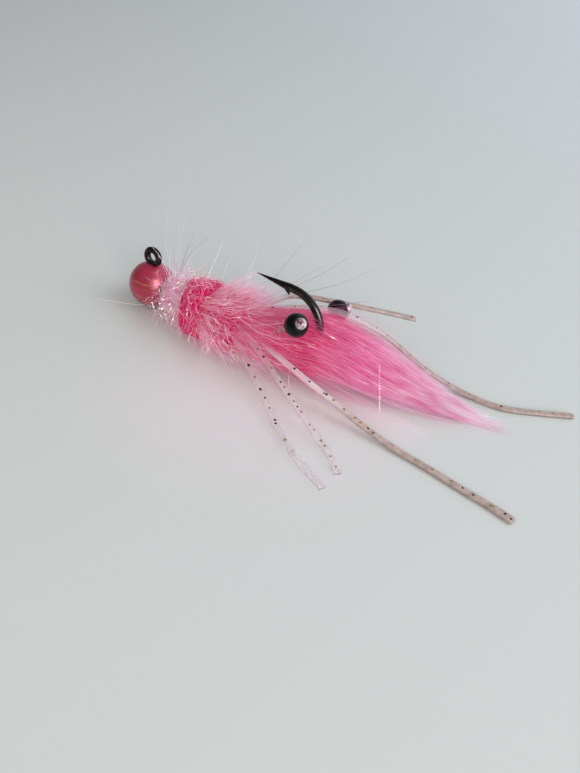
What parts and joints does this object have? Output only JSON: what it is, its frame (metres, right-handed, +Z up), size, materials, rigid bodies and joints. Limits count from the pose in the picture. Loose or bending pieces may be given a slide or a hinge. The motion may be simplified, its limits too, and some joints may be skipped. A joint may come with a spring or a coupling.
{
  "type": "jig head",
  "caption": "Round-ball jig head with an upturned line eye and up-riding hook, dressed with dubbing, a fur tail, silicone legs and stalked bead eyes.",
  "frame": {"origin": "centre of the line-tie eye on top of the ball", "axes": "+X back along the hook shank to the tail, +Y across the hook (the eye's axis), +Z up to the hook point"},
  "size_m": [0.0528, 0.0301, 0.0109],
  "materials": {
    "black_nickel": "polished black nickel plate with a brown cast",
    "lead": "dull cast lead",
    "pearl_paint": "pearl rose-pink lacquer over lead",
    "clear_cement": "clear hard head cement",
    "white_thread": "fine waxed tying thread",
    "pearl_flash": "white fibre mixed with cut pearl flash film",
    "pink_dubbing": "teased soft dubbing, hot pink with pale fibre tips",
    "pink_fur": "long tapered craft fur, hot pink fading to pale pink",
    "speckled_silicone": "translucent tan silicone with black and gold flecks",
    "clear_mono": "clear nylon monofilament, melted glossy at the end",
    "black_glass": "opaque black glass, fire polished"
  },
  "bodies": {
    "dressed_hook": {"hook": "black_nickel", "head_core": "lead", "head_paint": "pearl_paint", "head_cement": "clear_cement", "thread_base": "white_thread", "thread_collar": "white_thread", "flash_collar": "pearl_flash", "dubbing_front": "pink_dubbing", "flash_band": "pearl_flash", "dubbing_rear": "pink_dubbing", "leg_tie": "white_thread", "leg_butts_near": "speckled_silicone", "leg_butts_far": "speckled_silicone", "tail_tie": "white_thread", "eye_tie": "white_thread", "eye_mono_near": "clear_mono", "eye_mono_far": "clear_mono", "tail_root": "pink_fur"},
    "tail": {"tail_fur": "pink_fur"},
    "leg_far_short": {"leg_far_short": "speckled_silicone"},
    "leg_far_long": {"leg_far_long": "speckled_silicone"},
    "leg_near_long": {"leg_near_long": "speckled_silicone"},
    "leg_near_mid": {"leg_near_mid": "speckled_silicone"},
    "leg_near_low": {"leg_near_low": "speckled_silicone"},
    "eye_near": {"eye_stalk_near": "clear_mono", "eye_bead_near": "black_glass", "eye_tip_near": "clear_mono"},
    "eye_far": {"eye_stalk_far": "clear_mono", "eye_bead_far": "black_glass", "eye_tip_far": "clear_mono"}
  },
  "joints": [
    {"name": "tail_sway", "type": "hinge", "parent": "dressed_hook", "child": "tail", "pos_m": [0.021, 0.0015, -0.0043], "axis": [0, 0, 1], "range_deg": [-8, 8], "stiffness_Nm_per_rad": 0.00002},
    {"name": "leg_far_short_lift", "type": "hinge", "parent": "dressed_hook", "child": "leg_far_short", "pos_m": [0.01425, 0.0018, -0.00185], "axis": [0.766, -0.6429, 0], "range_deg": [-8, 25], "stiffness_Nm_per_rad": 0.00002},
    {"name": "leg_far_long_lift", "type": "hinge", "parent": "dressed_hook", "child": "leg_far_long", "pos_m": [0.01425, 0.00085, -0.00165], "axis": [0.2728, -0.9621, 0], "range_deg": [0, 20], "stiffness_Nm_per_rad": 0.00002},
    {"name": "leg_near_long_lift", "type": "hinge", "parent": "dressed_hook", "child": "leg_near_long", "pos_m": [0.01425, -0.0008, -0.00215], "axis": [-0.33, -0.944, 0], "range_deg": [0, 12], "stiffness_Nm_per_rad": 0.00002},
    {"name": "leg_near_mid_lift", "type": "hinge", "parent": "dressed_hook", "child": "leg_near_mid", "pos_m": [0.01425, -0.00175, -0.0021], "axis": [-0.4093, -0.9124, 0], "range_deg": [0, 30], "stiffness_Nm_per_rad": 0.00002},
    {"name": "leg_near_low_lift", "type": "hinge", "parent": "dressed_hook", "child": "leg_near_low", "pos_m": [0.01425, -0.00245, -0.0032], "axis": [-0.5173, -0.8558, 0], "range_deg": [0, 30], "stiffness_Nm_per_rad": 0.00002},
    {"name": "eye_near_nod", "type": "hinge", "parent": "dressed_hook", "child": "eye_near", "pos_m": [0.0174, -0.0008, -0.0025], "axis": [-0.4702, -0.8826, 0], "range_deg": [-15, 10], "stiffness_Nm_per_rad": 0.0001},
    {"name": "eye_far_nod", "type": "hinge", "parent": "dressed_hook", "child": "eye_far", "pos_m": [0.0174, 0.00095, -0.0027], "axis": [0.7035, -0.7107, 0], "range_deg": [-15, 3], "stiffness_Nm_per_rad": 0.0001}
  ]
}
